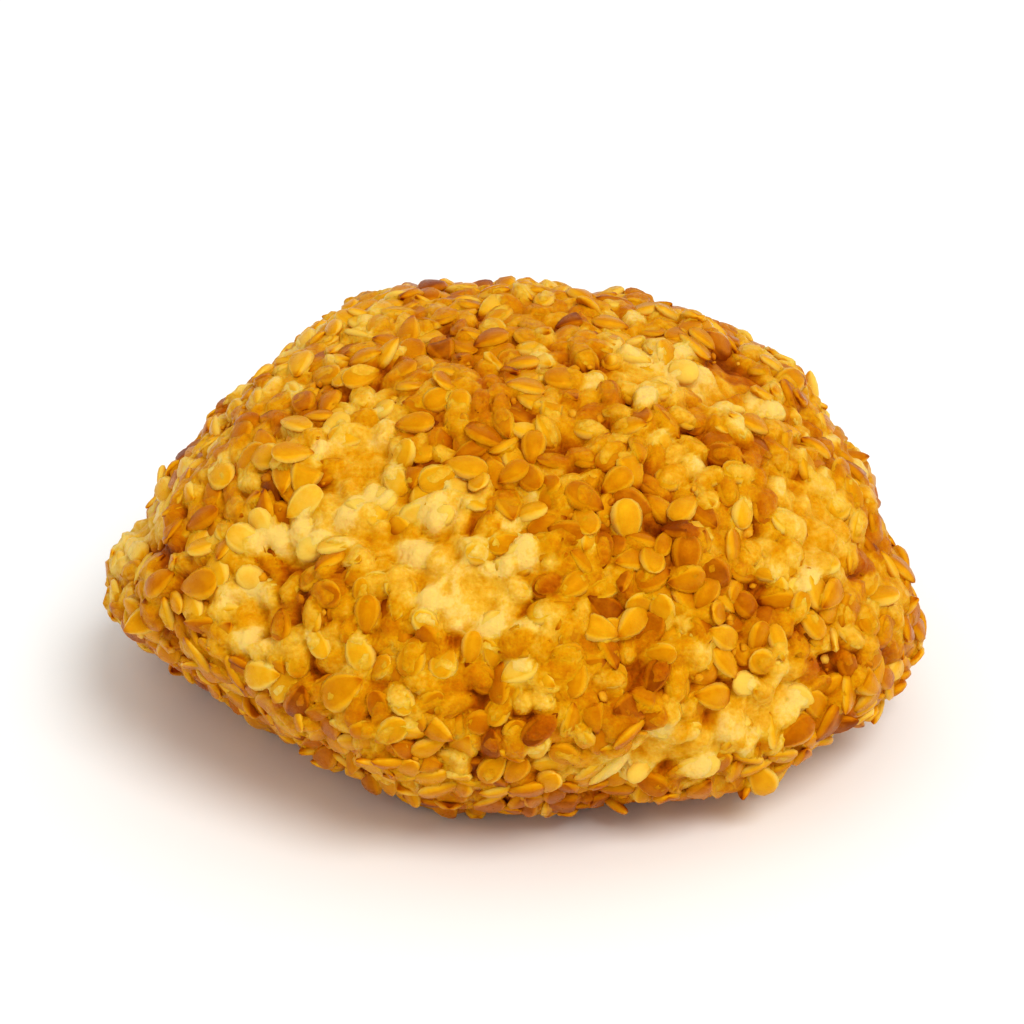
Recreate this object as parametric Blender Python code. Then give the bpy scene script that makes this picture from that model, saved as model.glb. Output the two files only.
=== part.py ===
"""Sesame cookie: a rounded, uneven lump of dough under a crust of seeds, baked on a flat base.

Metres, +Z up. The origin is the middle of the base, +X runs along the longer side and -Y is the
front. The solid's surface is the mean outer surface of the crust of seeds, so the seeds' tips
stand a little proud of it and the gaps between them lie a little below.
"""

import math

import bmesh
import bpy
import numpy as np

# Driving dimensions
LENGTH = 0.056  # along X
DEPTH = 0.0505  # along Y
HEIGHT = 0.0275  # from the base to the crown
WAIST_HEIGHT = 0.0056  # height of the widest outline above the base

# The rounded lump before its sides are flattened, as half-sizes measured from the waist's middle
HALF_LENGTH = 0.0288
HALF_DEPTH = 0.0260
CROWN = 0.0230  # above the waist
BELLY = 0.0070  # below the waist, where the base cuts it short
ROUNDNESS = 2.15  # 2 gives an ellipsoid, and more gives fuller shoulders
EDGE_SHARPNESS = 16.0  # how tightly the lump bends where a flattened side begins

# Sides pressed flat by hand and by the tray: azimuth and elevation in degrees, distance in metres
FLATTENED_SIDES = (
    (226, -38, 0.0167),  # front left, tucked under
    (158, 36, 0.0253),  # back left shoulder
    (8, 16, 0.0271),  # right end
    (90, 62, 0.0243),  # sloping top towards the back
    (38, 40, 0.0252),  # back right shoulder
    (300, 32, 0.0254),  # front right shoulder
    (318, -48, 0.0178),  # front right, tucked under
    (275, -40, 0.0176),  # front, tucked under
    (110, -35, 0.0196),  # back, tucked under
)

# Swellings and dips of the dough: azimuth and elevation in degrees, radius and rise in metres
SWELLINGS = (
    (205, 12, 0.0060, 0.0007),
    (247, 16, 0.0065, 0.0006),
    (285, 44, 0.0075, 0.0005),
    (318, 18, 0.0060, 0.0006),
    (200, 52, 0.0070, 0.0006),
    (20, 48, 0.0065, 0.0007),
    (70, 22, 0.0070, 0.0008),
    (120, 50, 0.0080, 0.0006),
    (148, 14, 0.0060, 0.0007),
    (268, 60, 0.0050, -0.0005),
    (345, 30, 0.0045, -0.0005),
    (96, 8, 0.0055, -0.0006),
    (176, 30, 0.0050, -0.0006),
    (40, 8, 0.0050, -0.0005),
)

# Splits where the crust parted as the dough swelled: points as azimuth and elevation in degrees
SPLITS = (
    ((230, 53), (239, 47), (244, 42), (252, 39), (259, 37), (265, 34)),
    ((228, 35), (234, 38), (241, 41)),
    ((328, 67), (341, 62), (343, 52)),
    ((331, 35), (331, 31), (326, 28)),
    ((311, 13), (304, 10), (296, 8), (289, 7)),
    ((226, 26), (230, 21)),
    ((12, 30), (22, 33), (33, 29)),
    ((62, 48), (74, 42), (80, 33), (92, 28)),
    ((120, 26), (131, 22), (139, 27)),
    ((150, 58), (162, 50), (168, 42)),
    ((178, 14), (188, 18), (195, 26)),
    ((48, 12), (58, 9), (68, 11)),
)
SPLIT_DEPTH = 0.00045
SPLIT_HALF_WIDTH = 0.0020

# Uneven thickness of the crust: many shallow waves that cross
WAVE_COUNT = 40
WAVE_SEED = 11
WAVE_LENGTHS = (0.0045, 0.0110)  # shortest and longest
WAVE_HEIGHT = 0.00028

SPHERE_SUBDIVISIONS = 5  # 5,120 triangles before the base is cut
UPWARD_LEAN = 0.35  # draws the sphere's points up and away from the part that the base cuts off
WELD_DISTANCE = 1e-6
SHARP_ANGLE = math.radians(40)

CRUST_COLOUR = (0.72, 0.30, 0.016, 1.0)
CRUST_ROUGHNESS = 0.55


def clear_scene():
    """Removes every object, so that the scene holds only the cookie."""
    for item in list(bpy.data.objects):
        bpy.data.objects.remove(item, do_unlink=True)


def direction(azimuth, elevation):
    """The unit vector at an azimuth from +X and an elevation from the waist, both in degrees."""
    turn = math.radians(azimuth)
    rise = math.radians(elevation)
    return np.array((math.cos(turn) * math.cos(rise), math.sin(turn) * math.cos(rise), math.sin(rise)))


def pressed_lump(directions):
    """Points of the smooth lump in the given directions from the waist's middle.

    The radius is the power mean of a superellipsoid's radius and of the distance to each
    flattened side, so that the smallest of them rules and they meet in rounded edges.
    """
    half_sizes = np.tile((HALF_LENGTH, HALF_DEPTH, CROWN), (len(directions), 1))
    half_sizes[directions[:, 2] < 0, 2] = BELLY
    ratios = np.abs(directions / half_sizes)
    closeness = np.sum(ratios**ROUNDNESS, axis=1) ** (EDGE_SHARPNESS / ROUNDNESS)
    for azimuth, elevation, distance in FLATTENED_SIDES:
        facing = np.maximum(directions @ direction(azimuth, elevation), 0)
        closeness += (facing / distance) ** EDGE_SHARPNESS
    return directions * (closeness ** (-1 / EDGE_SHARPNESS))[:, None]


def swelling_rise(points):
    """The rise of each point from the swellings and dips, each a bell over its middle."""
    rise = np.zeros(len(points))
    for azimuth, elevation, radius, height in SWELLINGS:
        middle = pressed_lump(direction(azimuth, elevation)[None])[0]
        squared = np.sum((points - middle) ** 2, axis=1)
        rise += height * np.exp(-squared / (2 * radius**2))
    return rise


def distance_to_split(points, split):
    """The distance from each point to a split, a chain of straight pieces on the lump."""
    chain = pressed_lump(np.array([direction(azimuth, elevation) for azimuth, elevation in split]))
    nearest = np.full(len(points), np.inf)
    for start, end in zip(chain[:-1], chain[1:]):
        along = end - start
        share = np.clip((points - start) @ along / (along @ along), 0, 1)
        nearest = np.minimum(nearest, np.linalg.norm(points - start - share[:, None] * along, axis=1))
    return nearest


def split_drop(points):
    """The depth of each point in the shallow, round-edged valleys where the crust parted."""
    nearest = np.min([distance_to_split(points, split) for split in SPLITS], axis=0)
    return SPLIT_DEPTH * np.exp(-((nearest / SPLIT_HALF_WIDTH) ** 2))


def crust_waves(points):
    """The sum of many sine waves of mixed length and direction, scaled to the waves' height."""
    random = np.random.default_rng(WAVE_SEED)
    headings = random.normal(size=(WAVE_COUNT, 3))
    headings /= np.linalg.norm(headings, axis=1)[:, None]
    lengths = random.uniform(*WAVE_LENGTHS, WAVE_COUNT)
    phases = random.uniform(0, 2 * math.pi, WAVE_COUNT)
    waves = np.sin(points @ (headings * (2 * math.pi / lengths)[:, None]).T + phases)
    return WAVE_HEIGHT * np.sum(waves, axis=1) / math.sqrt(WAVE_COUNT / 2)


def cookie_points(directions):
    """The crust's outer points: the pressed lump with its swellings, splits and waves."""
    lump = pressed_lump(directions)
    rise = swelling_rise(lump) - split_drop(lump) + crust_waves(lump)
    return lump + directions * rise[:, None]


def fit_to_size(points):
    """Centres the points over the origin and fits them to the length, depth and height."""
    low = points.min(axis=0)
    high = points.max(axis=0)
    base_middle = np.array(((low[0] + high[0]) / 2, (low[1] + high[1]) / 2, low[2]))
    return (points - base_middle) * (np.array((LENGTH, DEPTH, HEIGHT)) / (high - low))


def vertex_array(shape):
    """The positions of a bmesh's vertices as one array."""
    return np.array([vertex.co[:] for vertex in shape.verts])


def move_vertices(shape, points):
    """Moves a bmesh's vertices to the given points."""
    for vertex, point in zip(shape.verts, points):
        vertex.co = point


def cut_base(shape):
    """Cuts the lump off flat at the base and closes the cut with one face."""
    cut = bmesh.ops.bisect_plane(
        shape,
        geom=shape.verts[:] + shape.edges[:] + shape.faces[:],
        dist=WELD_DISTANCE,
        plane_co=(0, 0, -WAIST_HEIGHT),
        plane_no=(0, 0, -1),
        clear_outer=True,
    )
    rim = [item for item in cut["geom_cut"] if isinstance(item, bmesh.types.BMEdge)]
    bmesh.ops.contextual_create(shape, geom=rim)
    bmesh.ops.remove_doubles(shape, verts=shape.verts[:], dist=WELD_DISTANCE)


def crust_material():
    """Golden baked crust with a faint gloss."""
    material = bpy.data.materials.new("baked_crust")
    material.use_nodes = True
    shader = material.node_tree.nodes["Principled BSDF"]
    shader.inputs["Base Color"].default_value = CRUST_COLOUR
    shader.inputs["Roughness"].default_value = CRUST_ROUGHNESS
    shader.inputs["Metallic"].default_value = 0.0
    return material


def make_cookie():
    """The cookie as one closed solid."""
    shape = bmesh.new()
    bmesh.ops.create_icosphere(shape, subdivisions=SPHERE_SUBDIVISIONS, radius=1.0)
    leaning = vertex_array(shape) + np.array((0, 0, UPWARD_LEAN))
    move_vertices(shape, cookie_points(leaning / np.linalg.norm(leaning, axis=1)[:, None]))
    cut_base(shape)
    move_vertices(shape, fit_to_size(vertex_array(shape)))
    bmesh.ops.recalc_face_normals(shape, faces=shape.faces[:])

    mesh = bpy.data.meshes.new("sesame_cookie")
    shape.to_mesh(mesh)
    shape.free()
    mesh.shade_smooth()
    mesh.set_sharp_from_angle(angle=SHARP_ANGLE)
    mesh.materials.append(crust_material())
    cookie = bpy.data.objects.new("sesame_cookie", mesh)
    bpy.context.scene.collection.objects.link(cookie)


clear_scene()
make_cookie()
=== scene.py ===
"""Looks of the sesame cookie: dough, whole and broken seeds, crumbs, and the studio around them.

Metres, +Z up. The origin is the middle of the flat base, +X runs along the longer side and -Y is
the front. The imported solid's surface is the mean outer surface of the crust of seeds. The same
form is worked out here again and fitted to the solid's box, then the dough is set a little below
it and the seeds are laid on it.
"""

import logging
import math
import sys
from dataclasses import dataclass, field
from enum import Enum
from typing import Union

import bpy
import numpy as np
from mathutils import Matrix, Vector

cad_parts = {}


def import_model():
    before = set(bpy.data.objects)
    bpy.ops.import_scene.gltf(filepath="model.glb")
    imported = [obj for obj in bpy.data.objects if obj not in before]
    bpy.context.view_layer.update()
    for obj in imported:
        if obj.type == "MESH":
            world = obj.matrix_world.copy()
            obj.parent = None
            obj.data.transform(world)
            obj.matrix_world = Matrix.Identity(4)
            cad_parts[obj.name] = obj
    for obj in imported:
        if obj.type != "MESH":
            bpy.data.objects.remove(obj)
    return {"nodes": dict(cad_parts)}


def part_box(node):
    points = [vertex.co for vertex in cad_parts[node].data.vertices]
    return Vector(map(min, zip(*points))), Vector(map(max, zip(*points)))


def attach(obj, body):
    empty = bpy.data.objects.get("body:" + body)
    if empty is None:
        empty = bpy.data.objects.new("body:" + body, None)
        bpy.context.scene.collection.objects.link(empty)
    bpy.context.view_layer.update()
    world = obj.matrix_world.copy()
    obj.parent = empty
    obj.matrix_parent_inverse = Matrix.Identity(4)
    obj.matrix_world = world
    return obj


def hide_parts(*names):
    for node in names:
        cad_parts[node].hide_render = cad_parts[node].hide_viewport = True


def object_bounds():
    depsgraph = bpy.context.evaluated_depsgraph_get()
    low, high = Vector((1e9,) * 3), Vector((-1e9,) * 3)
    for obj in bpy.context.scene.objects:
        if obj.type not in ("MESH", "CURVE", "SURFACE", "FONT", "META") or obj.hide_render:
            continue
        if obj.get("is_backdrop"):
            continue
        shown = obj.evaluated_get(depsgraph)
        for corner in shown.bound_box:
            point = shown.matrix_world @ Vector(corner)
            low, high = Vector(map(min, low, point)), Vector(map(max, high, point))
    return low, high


LOG = logging.getLogger("sesame_cookie")
MM = 0.001
BODY = "root"
NODE = "sesame_cookie"
BAKE_MAP = "OFBake"
NEARLY_ZERO = 1e-9
ON_BASE = 0.25 * MM  # crust lower than this lies on the flat base
FLOOR_GAP = 0.02 * MM  # the lowest that a seed or crumb may reach
STEEP = 0.9  # the rise of a unit vector from which on it counts as upright

Span = tuple[float, float]
Colour = tuple[float, float, float]
Socket = bpy.types.NodeSocket
Source = Union[Socket, float, Colour]


class Slot(Enum):
    """The record's material slots."""

    CRUST = "baked_crust"
    SEEDS = "sesame_seeds"


class Toast(Enum):
    """How far a seed is toasted: its piece's name and the highest toasting it holds."""

    PALE = ("pale_seeds", 0.50)
    GOLDEN = ("golden_seeds", 0.66)
    BROWN = ("brown_seeds", math.inf)

    @property
    def piece(self) -> str:
        """The name of the piece that holds such seeds."""
        return self.value[0]

    @property
    def limit(self) -> float:
        """The highest toasting of such seeds."""
        return self.value[1]


class Break(Enum):
    """Which end of a seed has broken off."""

    NONE = 0
    ROUND_END = 1
    TIP = 2


# ---------------------------------------------------------------------------------------------
# Small pieces of geometry
# ---------------------------------------------------------------------------------------------


def unit(vectors: np.ndarray) -> np.ndarray:
    """The vectors, one a row, scaled to length one."""
    return vectors / np.maximum(np.linalg.norm(vectors, axis=-1, keepdims=True), NEARLY_ZERO)


def direction(azimuth: float, elevation: float) -> np.ndarray:
    """The unit vector at an azimuth from +X and an elevation, both in degrees.

    Args:
        azimuth: turn from +X towards +Y.
        elevation: rise above the level.

    Returns:
        The cosines of the turn and rise multiplied, the sine and cosine, and the sine of the rise.
    """
    turn, rise = math.radians(azimuth), math.radians(elevation)
    level = math.cos(rise)
    return np.array((math.cos(turn) * level, math.sin(turn) * level, math.sin(rise)))


def smooth_step(values: np.ndarray, start: float, end: float) -> np.ndarray:
    """A smooth climb from 0 at start to 1 at end: 3 s squared less 2 s cubed of the share s."""
    share = np.clip((values - start) / (end - start), 0.0, 1.0)
    return share * share * (3.0 - 2.0 * share)


def tangents(normals: np.ndarray) -> tuple[np.ndarray, np.ndarray]:
    """Two unit vectors square to each normal and to each other.

    The first is the cross product of a helper and the normal, and the helper is +Z, or +X where
    the normal is upright. The second is the cross product of the normal and the first.

    Args:
        normals: unit vectors, one a row.

    Returns:
        The first and second tangents, one a row, with first cross second along the normal.
    """
    upright = np.abs(normals[:, 2:3]) >= STEEP
    helper = np.where(upright, (1.0, 0.0, 0.0), (0.0, 0.0, 1.0))
    first = unit(np.cross(helper, normals))
    return first, np.cross(normals, first)


def turned_headings(normals: np.ndarray, turns: np.ndarray) -> np.ndarray:
    """Unit vectors square to the normals: the tangents by the cosine and sine of each turn.

    Args:
        normals: unit vectors, one a row.
        turns: one turn about each normal, in radians.

    Returns:
        One unit vector a row.
    """
    first, second = tangents(normals)
    return np.cos(turns)[:, None] * first + np.sin(turns)[:, None] * second


def near_pairs(points: np.ndarray, reach: float) -> tuple[np.ndarray, np.ndarray]:
    """Every ordered pair of different points nearer than the reach.

    Args:
        points: one point a row.
        reach: the distance below which a pair counts.

    Returns:
        The number of the first and of the second point of each pair.
    """
    squares = np.sum(points**2, axis=1)
    squared = squares[:, None] + squares[None] - 2 * points @ points.T
    np.fill_diagonal(squared, np.inf)
    return np.nonzero(squared < reach**2)


def gathered(values: np.ndarray, places: np.ndarray, total: int) -> np.ndarray:
    """Adds up the values that share a place.

    Args:
        values: one value or row of values an entry.
        places: the place of each entry in the sums.
        total: number of places.

    Returns:
        The sum at each place, and nothing where no entry falls.
    """
    sums = np.zeros((total, *values.shape[1:]))
    np.add.at(sums, places, values)
    return sums


def set_in_place(local: np.ndarray, axes: np.ndarray, middles: np.ndarray) -> np.ndarray:
    """Puts lumps into the frame: each point's three measures times its lump's axes, added up.

    Args:
        local: each lump's points in its own axes, as an array of lumps by points by three.
        axes: each lump's three axes, one a row.
        middles: each lump's middle.

    Returns:
        All the points, one a row, none of them lower than the floor's gap.
    """
    points = np.einsum("npk,nkc->npc", local, axes) + middles[:, None]
    points = points.reshape(-1, 3)
    points[:, 2] = np.maximum(points[:, 2], FLOOR_GAP)
    return points


def in_cells(places: np.ndarray, count: int, margin: float) -> np.ndarray:
    """Copies one lump's places on the bake map into a square cell for each of so many lumps.

    Args:
        places: where each face's corners lie in a cell, from 0 to 1, as faces by corners by two.
        count: number of lumps.
        margin: free edge of a cell, as a share of it.

    Returns:
        The places of every lump's corners, as faces by corners by two.
    """
    columns = math.ceil(math.sqrt(count))
    numbers = np.arange(count)
    cells = np.stack((numbers % columns, numbers // columns), axis=-1)[:, None, None, :]
    spread = (cells + margin + (1 - 2 * margin) * places[None]) / columns
    return spread.reshape(-1, *places.shape[1:])


@dataclass(frozen=True)
class Waves:
    """Even, smooth unevenness: the sum of sine waves of mixed length, heading and phase.

    Each wave is the sine of the point's distance along the wave's heading over its length. The sum
    is divided by the square root of half the count, so that its spread is about one. The lengths
    lie between the shortest and the longest, in metres.
    """

    seed: int
    count: int
    shortest: float
    longest: float

    def at(self, points: np.ndarray) -> np.ndarray:
        """The sum of the waves at each point.

        Args:
            points: one point a row, in metres.

        Returns:
            One value a point, mostly between -2 and 2.
        """
        random = np.random.default_rng(self.seed)
        headings = unit(random.normal(size=(self.count, 3)))
        lengths = random.uniform(self.shortest, self.longest, self.count)
        phases = random.uniform(0, 2 * math.pi, self.count)
        waves = np.sin(points @ (headings * (2 * math.pi / lengths)[:, None]).T + phases)
        return np.sum(waves, axis=1) / math.sqrt(self.count / 2)


@dataclass(frozen=True)
class Bell:
    """A bell-shaped spread of values: its middle and deviation, and the limits that cut it off."""

    middle: float
    deviation: float
    lowest: float = -math.inf
    highest: float = math.inf

    def draw(self, random: np.random.Generator, count: int) -> np.ndarray:
        """Draws so many values."""
        return random.normal(self.middle, self.deviation, count).clip(self.lowest, self.highest)


# ---------------------------------------------------------------------------------------------
# The cookie's form
# ---------------------------------------------------------------------------------------------


@dataclass(frozen=True)
class FlattenedSide:
    """A side pressed flat: where it faces, in degrees, and its distance from the waist's middle."""

    azimuth: float
    elevation: float
    distance: float


@dataclass(frozen=True)
class Swelling:
    """A swelling or dip of the dough: its middle in degrees, its radius and its rise in metres."""

    azimuth: float
    elevation: float
    radius: float
    rise: float


FLATTENED_SIDES = (
    FlattenedSide(226, -38, 0.0167),
    FlattenedSide(158, 36, 0.0253),
    FlattenedSide(8, 16, 0.0271),
    FlattenedSide(90, 62, 0.0243),
    FlattenedSide(38, 40, 0.0252),
    FlattenedSide(300, 32, 0.0254),
    FlattenedSide(318, -48, 0.0178),
    FlattenedSide(275, -40, 0.0176),
    FlattenedSide(110, -35, 0.0196),
)

SWELLINGS = (
    Swelling(205, 12, 0.0060, 0.0007),
    Swelling(247, 16, 0.0065, 0.0006),
    Swelling(285, 44, 0.0075, 0.0005),
    Swelling(318, 18, 0.0060, 0.0006),
    Swelling(200, 52, 0.0070, 0.0006),
    Swelling(20, 48, 0.0065, 0.0007),
    Swelling(70, 22, 0.0070, 0.0008),
    Swelling(120, 50, 0.0080, 0.0006),
    Swelling(148, 14, 0.0060, 0.0007),
    Swelling(268, 60, 0.0050, -0.0005),
    Swelling(345, 30, 0.0045, -0.0005),
    Swelling(96, 8, 0.0055, -0.0006),
    Swelling(176, 30, 0.0050, -0.0006),
    Swelling(40, 8, 0.0050, -0.0005),
)


@dataclass(frozen=True)
class Split:
    """A band where the crust parted: its points in degrees, and half its width in metres."""

    points: tuple[tuple[float, float], ...]
    half_width: float


SPLITS = (
    Split(((230, 53), (239, 47), (244, 42), (252, 39), (259, 37), (265, 34)), 2.3 * MM),
    Split(((228, 35), (234, 38), (241, 41)), 1.2 * MM),
    Split(((328, 67), (341, 62), (343, 52)), 1.7 * MM),
    Split(((331, 35), (331, 31), (326, 28)), 2.3 * MM),
    Split(((311, 13), (304, 10), (296, 8), (289, 7)), 1.6 * MM),
    Split(((226, 26), (230, 21)), 1.1 * MM),
    Split(((12, 30), (22, 33), (33, 29)), 1.8 * MM),
    Split(((62, 48), (74, 42), (80, 33), (92, 28)), 2.2 * MM),
    Split(((120, 26), (131, 22), (139, 27)), 1.7 * MM),
    Split(((150, 58), (162, 50), (168, 42)), 1.6 * MM),
    Split(((178, 14), (188, 18), (195, 26)), 1.5 * MM),
    Split(((48, 12), (58, 9), (68, 11)), 1.4 * MM),
)


@dataclass
class CookieForm:
    """The crust's mean outer surface, as a function of the direction from the waist's middle.

    The radius of the pressed lump is the power mean of a superellipsoid's radius, of the distance
    to each flattened side and of the distance to the base. Swellings, splits and crossing waves
    are then added along the direction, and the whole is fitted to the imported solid's box.
    """

    half_length: float = 28.8 * MM
    half_depth: float = 26.0 * MM
    crown: float = 23.0 * MM
    belly: float = 7.0 * MM
    waist_height: float = 5.6 * MM
    roundness: float = 2.15
    edge_sharpness: float = 16.0
    base_sharpness: float = 60.0
    split_depth: float = 0.45 * MM
    valley_half_width: float = 2.0 * MM
    wave_height: float = 0.28 * MM
    waves: Waves = Waves(11, 40, 4.5 * MM, 11.0 * MM)
    raggedness: float = 0.28
    ragged: Waves = Waves(23, 24, 1.6 * MM, 5.0 * MM)
    bare_edge: Span = (0.5, 1.35)
    chord_reach: float = 0.02
    middle: np.ndarray = field(default_factory=lambda: np.zeros(3))
    scale: np.ndarray = field(default_factory=lambda: np.ones(3))

    def lump(self, directions: np.ndarray) -> np.ndarray:
        """Points of the pressed lump without its base.

        Args:
            directions: unit vectors, one a row.

        Returns:
            One point a direction.
        """
        half_sizes = np.tile((self.half_length, self.half_depth, self.crown), (len(directions), 1))
        half_sizes[directions[:, 2] < 0, 2] = self.belly
        ratios = np.abs(directions / half_sizes)
        power = self.edge_sharpness / self.roundness
        closeness = np.sum(ratios**self.roundness, axis=1) ** power
        for side in FLATTENED_SIDES:
            facing = np.maximum(directions @ direction(side.azimuth, side.elevation), 0.0)
            closeness += (facing / side.distance) ** self.edge_sharpness
        return directions * (closeness ** (-1.0 / self.edge_sharpness))[:, None]

    def distance_to_split(self, points: np.ndarray, split: Split) -> np.ndarray:
        """The distance from each point to a split, a chain of straight pieces on the lump.

        Args:
            points: points on or near the lump, one a row.
            split: the split.

        Returns:
            The distance to the nearest piece of the chain, one a point.
        """
        chain = self.lump(np.array([direction(*point) for point in split.points]))
        nearest = np.full(len(points), np.inf)
        for start, end in zip(chain[:-1], chain[1:]):
            along = end - start
            share = np.clip((points - start) @ along / (along @ along), 0.0, 1.0)
            gap = np.linalg.norm(points - start - share[:, None] * along, axis=1)
            nearest = np.minimum(nearest, gap)
        return nearest

    def raw(self, directions: np.ndarray) -> np.ndarray:
        """Crust points before they are fitted to the box.

        Args:
            directions: unit vectors, one a row.

        Returns:
            The lump with its swellings, valleys and waves, cut by the base.
        """
        lump = self.lump(directions)
        rise = self.wave_height * self.waves.at(lump)
        for swelling in SWELLINGS:
            middle = self.lump(direction(swelling.azimuth, swelling.elevation)[None])[0]
            squared = np.sum((lump - middle) ** 2, axis=1)
            rise += swelling.rise * np.exp(-squared / (2 * swelling.radius**2))
        nearest = np.min([self.distance_to_split(lump, split) for split in SPLITS], axis=0)
        rise -= self.split_depth * np.exp(-((nearest / self.valley_half_width) ** 2))
        radius = np.linalg.norm(lump, axis=1) + rise
        downward = np.maximum(-directions[:, 2], 0.0) / self.waist_height
        sharp = self.base_sharpness
        radius = ((1.0 / radius) ** sharp + downward**sharp) ** (-1.0 / sharp)
        return directions * radius[:, None]

    def fit(self, low: np.ndarray, high: np.ndarray, directions: np.ndarray) -> None:
        """Fits the form to a box, from its own box over the given directions.

        Args:
            low: the box's lowest corner.
            high: the box's highest corner.
            directions: unit vectors that cover the form closely.
        """
        points = self.raw(directions)
        own_low, own_high = points.min(axis=0), points.max(axis=0)
        self.scale = (high - low) / (own_high - own_low)
        self.middle = (low + high) / 2 - (own_low + own_high) / 2 * self.scale

    def surface(self, directions: np.ndarray) -> np.ndarray:
        """Crust points in the frame, in the given unit directions."""
        return self.raw(directions) * self.scale + self.middle

    def directions_to(self, points: np.ndarray) -> np.ndarray:
        """The unit directions in which the form's own centre sees the points."""
        return unit((points - self.middle) / self.scale)

    def normals(self, directions: np.ndarray) -> np.ndarray:
        """Outward normals: the cross product of two short chords across each point.

        Args:
            directions: unit vectors, one a row.

        Returns:
            Unit normals, one a row.
        """
        first, second = (
            self.surface(unit(directions + self.chord_reach * t))
            - self.surface(unit(directions - self.chord_reach * t))
            for t in tangents(directions)
        )
        return unit(np.cross(first, second))

    def bareness(self, points: np.ndarray, spread: float = 1.0) -> np.ndarray:
        """How bare of seeds the crust is: 1 along each split's middle, 0 outside its ragged edge.

        The split's half-width is made uneven by short crossing waves before the distance to its
        middle is compared with it.

        Args:
            points: points in the frame, one a row.
            spread: how many times as far as the bare crust itself the value reaches.

        Returns:
            One value from 0 to 1 a point.
        """
        own = (points - self.middle) / self.scale
        ragged = 1.0 + self.raggedness * self.ragged.at(own)
        start, end = (edge * spread for edge in self.bare_edge)
        bare = np.zeros(len(points))
        for split in SPLITS:
            share = self.distance_to_split(own, split) / (split.half_width * ragged)
            bare = np.maximum(bare, 1.0 - smooth_step(share, start, end))
        return bare


@dataclass(frozen=True)
class CrustFields:
    """Slow changes over the crust: how much glaze covers the seeds and how pale it is baked."""

    form: CookieForm
    least_cover: float = 0.30
    cover_up_high: float = 0.42
    high: Span = (5.0 * MM, 15.0 * MM)
    cover_in_patches: float = 0.20
    cover_patches: Waves = Waves(71, 20, 5.0 * MM, 15.0 * MM)
    cover_in_spots: float = 0.14
    cover_spots: Waves = Waves(73, 24, 2.2 * MM, 4.5 * MM)
    cover_near_splits: float = 0.25
    cover_spread: float = 1.5
    brown_in_patches: float = 0.050
    brown_patches: Waves = Waves(8172, 18, 7.0 * MM, 22.0 * MM)
    brown_down_low: float = 0.14
    low: Span = (1.5 * MM, 8.0 * MM)
    pale_in_blotches: float = 0.13
    pale_blotches: Waves = Waves(79, 36, 1.6 * MM, 8.0 * MM)
    pale_spread: float = 1.7
    pale_edge: Span = (0.05, 1.10)

    def cover(self, points: np.ndarray) -> np.ndarray:
        """How far the glaze covers the seeds: more on the crown and near splits, less low down.

        Args:
            points: points in the frame, one a row.

        Returns:
            One value from 0, where the seeds stand clear, to 1, where they are buried.
        """
        cover = self.least_cover + self.cover_up_high * smooth_step(points[:, 2], *self.high)
        cover += self.cover_in_patches * self.cover_patches.at(points)
        cover += self.cover_in_spots * self.cover_spots.at(points)
        cover += self.cover_near_splits * self.form.bareness(points, self.cover_spread)
        return cover.clip(0.0, 1.0)

    def browning(self, points: np.ndarray) -> np.ndarray:
        """How much browner than usual the crust is drawn, in wide patches and towards the base.

        Args:
            points: points in the frame, one a row.

        Returns:
            One value a point on the scale of toasting, negative where it is paler.
        """
        under = 1.0 - smooth_step(points[:, 2], *self.low)
        return self.brown_in_patches * self.brown_patches.at(points) + self.brown_down_low * under

    def paleness(self, points: np.ndarray) -> np.ndarray:
        """How pale the crust is baked: 1 along the splits, with soft and blotchy edges.

        Args:
            points: points in the frame, one a row.

        Returns:
            One value from 0 to 1 a point.
        """
        pale = self.form.bareness(points, self.pale_spread)
        pale += self.pale_in_blotches * self.pale_blotches.at(points)
        return smooth_step(pale, *self.pale_edge)


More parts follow.
